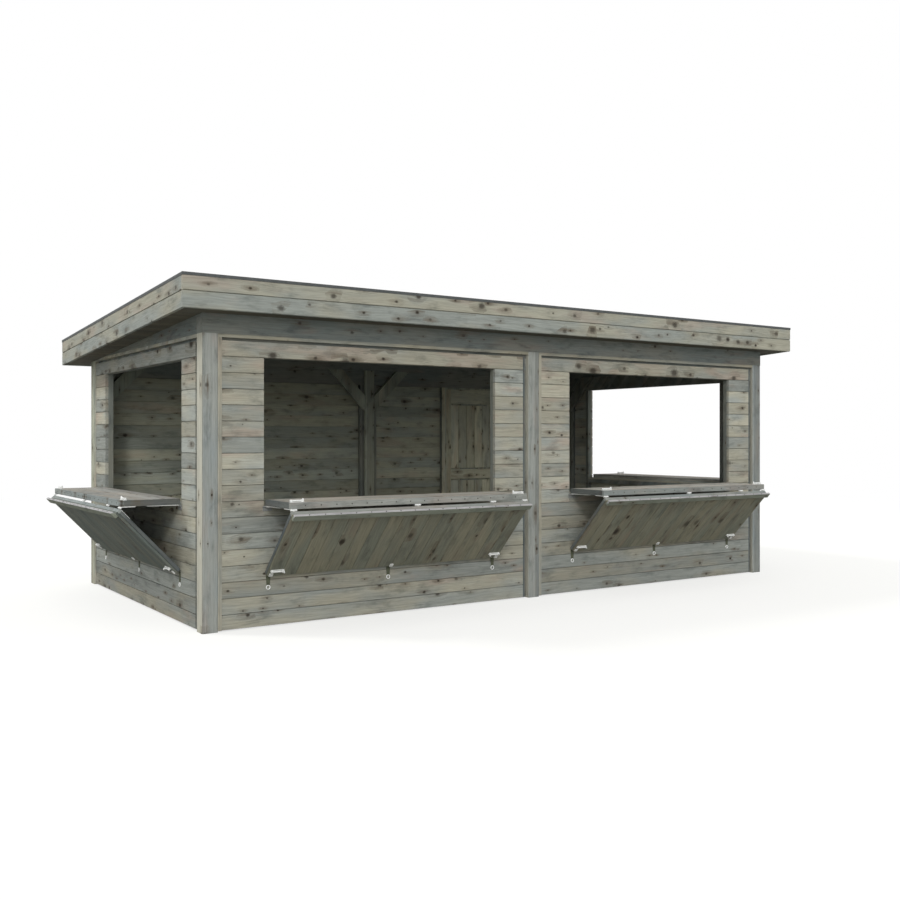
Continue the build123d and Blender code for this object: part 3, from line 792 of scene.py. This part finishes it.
def lap_strip(boards, place):
    """The strip that laps over the counter at the fold, its upper edge painted pale as painted light and the
    rest olive as painted shade.
    """
    outer = -lap_thickness
    step = lap_reach + fold_gap / 2
    outline = [
        (0, outer + edge_chamfer), (edge_chamfer, outer), (lap_width - edge_chamfer, outer),
        (lap_width, outer + edge_chamfer), (lap_width, 0),
        (step, 0), (step, -lap_clearance), (0, -lap_clearance),
    ]
    # Painted light and shade: the corners at the upper edge take the lit, pale colour, all the others the
    # shaded, olive one
    shades = [0.0 if across == 0 else 1.0 for across, _ in outline]
    boards.add(place, outline, hatch_width, 1.0, shades)


def counter_pieces(name, place, reach):
    """Counter: boards below, planks above, strips round the edges."""
    body, slot = name + "_counter_body", "counter_wood"
    under, over = pin_offset, pin_offset + panel_thickness
    front = -reach + fold_gap / 2
    behind = (front + edge_strip, 0.0)
    # The end counters' planks carry painted shade
    top_wood = shaded_end_counter_wood if name.endswith("end") else counter_wood
    top, outside, edge, sides = Boards(), Boards(), Boards(), Boards()
    layer(outside, place, inner_x, behind, (under, under + panel_layer), counter_planks)
    outside.piece(name + "_counter_outside", hatch_wood, body, slot)
    layer(top, place, inner_x, behind, (over - panel_layer, over), counter_planks)
    rail = (behind[1] - rail_width, behind[1] - core_inset)
    long_strip(top, place, inner_x, rail, (under + panel_layer, over - panel_layer))
    top.piece(name + "_counter_boards", top_wood, body, slot, name + "_counter")
    long_strip(edge, place, hatch_x, (front, behind[0]), (under, over))
    edge.piece(name + "_counter_edge", strip_wood, body, slot)
    side_strips(sides, place, hatch_x, behind, (under, over))
    sides.piece(name + "_counter_sides", side_wood, body, slot)
    screw_row(name + "_counter_screws", place, front, (under + over) / 2, body)


def flap_pieces(name, place, length):
    """Flap: boards outside, planks inside, strips round the edges and the one that laps over the counter."""
    body, slot = name + "_flap_body", "flap_wood"
    face, back = -(pin_offset + panel_thickness), -pin_offset
    near = fold_gap / 2
    down = (near + edge_strip, length)
    # The end flaps' planks carry painted shade
    planks_wood = shaded_end_flap_wood if name.endswith("end") else flap_wood
    inside, outside, edge, sides, lap = Boards(), Boards(), Boards(), Boards(), Boards()
    layer(outside, place, inner_x, down, (back - panel_layer, back), flap_boards)
    outside.piece(name + "_flap_outside", hatch_wood, body, slot)
    layer(inside, place, hatch_x, (near, length), (face, face + panel_layer), flap_planks, along_y=True)
    rail = (length - rail_width, length - core_inset)
    long_strip(inside, place, inner_x, rail, (face + panel_layer, back - panel_layer))
    inside.piece(name + "_flap_boards", planks_wood, body, slot, name + "_flap")
    long_strip(edge, place, hatch_x, (near, down[0]), (face + panel_layer, back))
    edge.piece(name + "_flap_edge", strip_wood, body, slot)
    side_strips(sides, place, hatch_x, down, (face + panel_layer + core_inset, back))
    sides.piece(name + "_flap_sides", side_wood, body, slot)
    lap_strip(lap, place @ frame_at((hatch_x[0], -lap_reach, face), RIGHT, IN))
    lap.piece(name + "_flap_lap", painted_light_lap_wood, body, slot)
    lap_middle = face - lap_clearance - (lap_thickness - lap_clearance) / 2
    screw_row(name + "_lap_screws", place, -lap_reach, lap_middle, body)


for name in hatches:
    at_wall, at_fold, reach = hatch_frame(name)
    counter_pieces(name, at_wall, reach)
    flap_pieces(name, at_fold, opening_top - at_wall.translation.z - reach - hatch_gap)

# Floor, pale and fading to white away from the stall; its lift and the white are for the camera alone
paving = Tree(bpy.data.materials.new("floor"))
camera_ray = paving.node("ShaderNodeLightPath").outputs["Is Camera Ray"]
matt = paving.node("ShaderNodeBsdfDiffuse", None, Color=floor_grey).outputs[0]
lift = paving.node("ShaderNodeEmission", None, Strength=floor_lift).outputs[0]
white = paving.node("ShaderNodeEmission").outputs[0]
lifted = paving.chain("ShaderNodeAddShader", (matt, lift))[0]
near_floor = paving.chain("ShaderNodeMixShader", (camera_ray, matt, lifted))[0]
fade = paving.ramp(paving.vector("LENGTH", paving.place()), fade_start, fade_end, 0.0, 1.0)
seen_fade = paving.math("MULTIPLY", fade, camera_ray)
whole_floor = paving.chain("ShaderNodeMixShader", (seen_fade, near_floor, white))[0]
paving.feed(paving.tree.nodes["Material Output"].inputs["Surface"], whole_floor)
paving.tree.nodes.remove(paving.shader)
floor_corners = [(x * floor_reach, y * floor_reach, 0) for x, y in ((-1, -1), (1, -1), (1, 1), (-1, 1))]
floor = bpy.data.objects.new("floor", new_mesh("floor", floor_corners, [(0, 1, 2, 3)], paving.owner))
bpy.context.scene.collection.objects.link(floor)

# Light: a soft key and a broad light from the front left, a soft one from behind on the left
for name, (strength, spread, way) in lamps.items():
    lamp = bpy.data.objects.new(name, bpy.data.lights.new(name, "SUN"))
    lamp.data.energy = strength
    lamp.data.angle = math.radians(spread)
    lamp.rotation_euler = Vector(way).to_track_quat("-Z", "Y").to_euler()
    bpy.context.scene.collection.objects.link(lamp)

# An even surround that looks white
surround = Tree(bpy.data.worlds.new("surround"), "Background")
bpy.context.scene.world = surround.owner
ray = surround.node("ShaderNodeLightPath").outputs
seen = surround.math("MAXIMUM", ray["Is Camera Ray"], ray["Is Glossy Ray"])
seen = surround.math("MAXIMUM", seen, ray["Is Transmission Ray"])
level = surround.node("ShaderNodeMapRange", None, Value=seen, To_Min=surround_light, To_Max=1.0)
surround.surface(Color=(1.0, 1.0, 1.0, 1.0), Strength=level.outputs[0])

# Camera at the photograph's place
camera = bpy.data.objects.new("camera", bpy.data.cameras.new("camera"))
camera.data.sensor_width = sensor_width
camera.data.lens = lens
camera.data.shift_y = lens_shift_share
camera.data.clip_end = view_reach
camera.location = camera_place
camera.rotation_euler = (math.radians(90), 0, math.radians(camera_turn))
bpy.context.scene.collection.objects.link(camera)
bpy.context.scene.camera = camera
bpy.context.scene.view_settings.view_transform = "Standard"
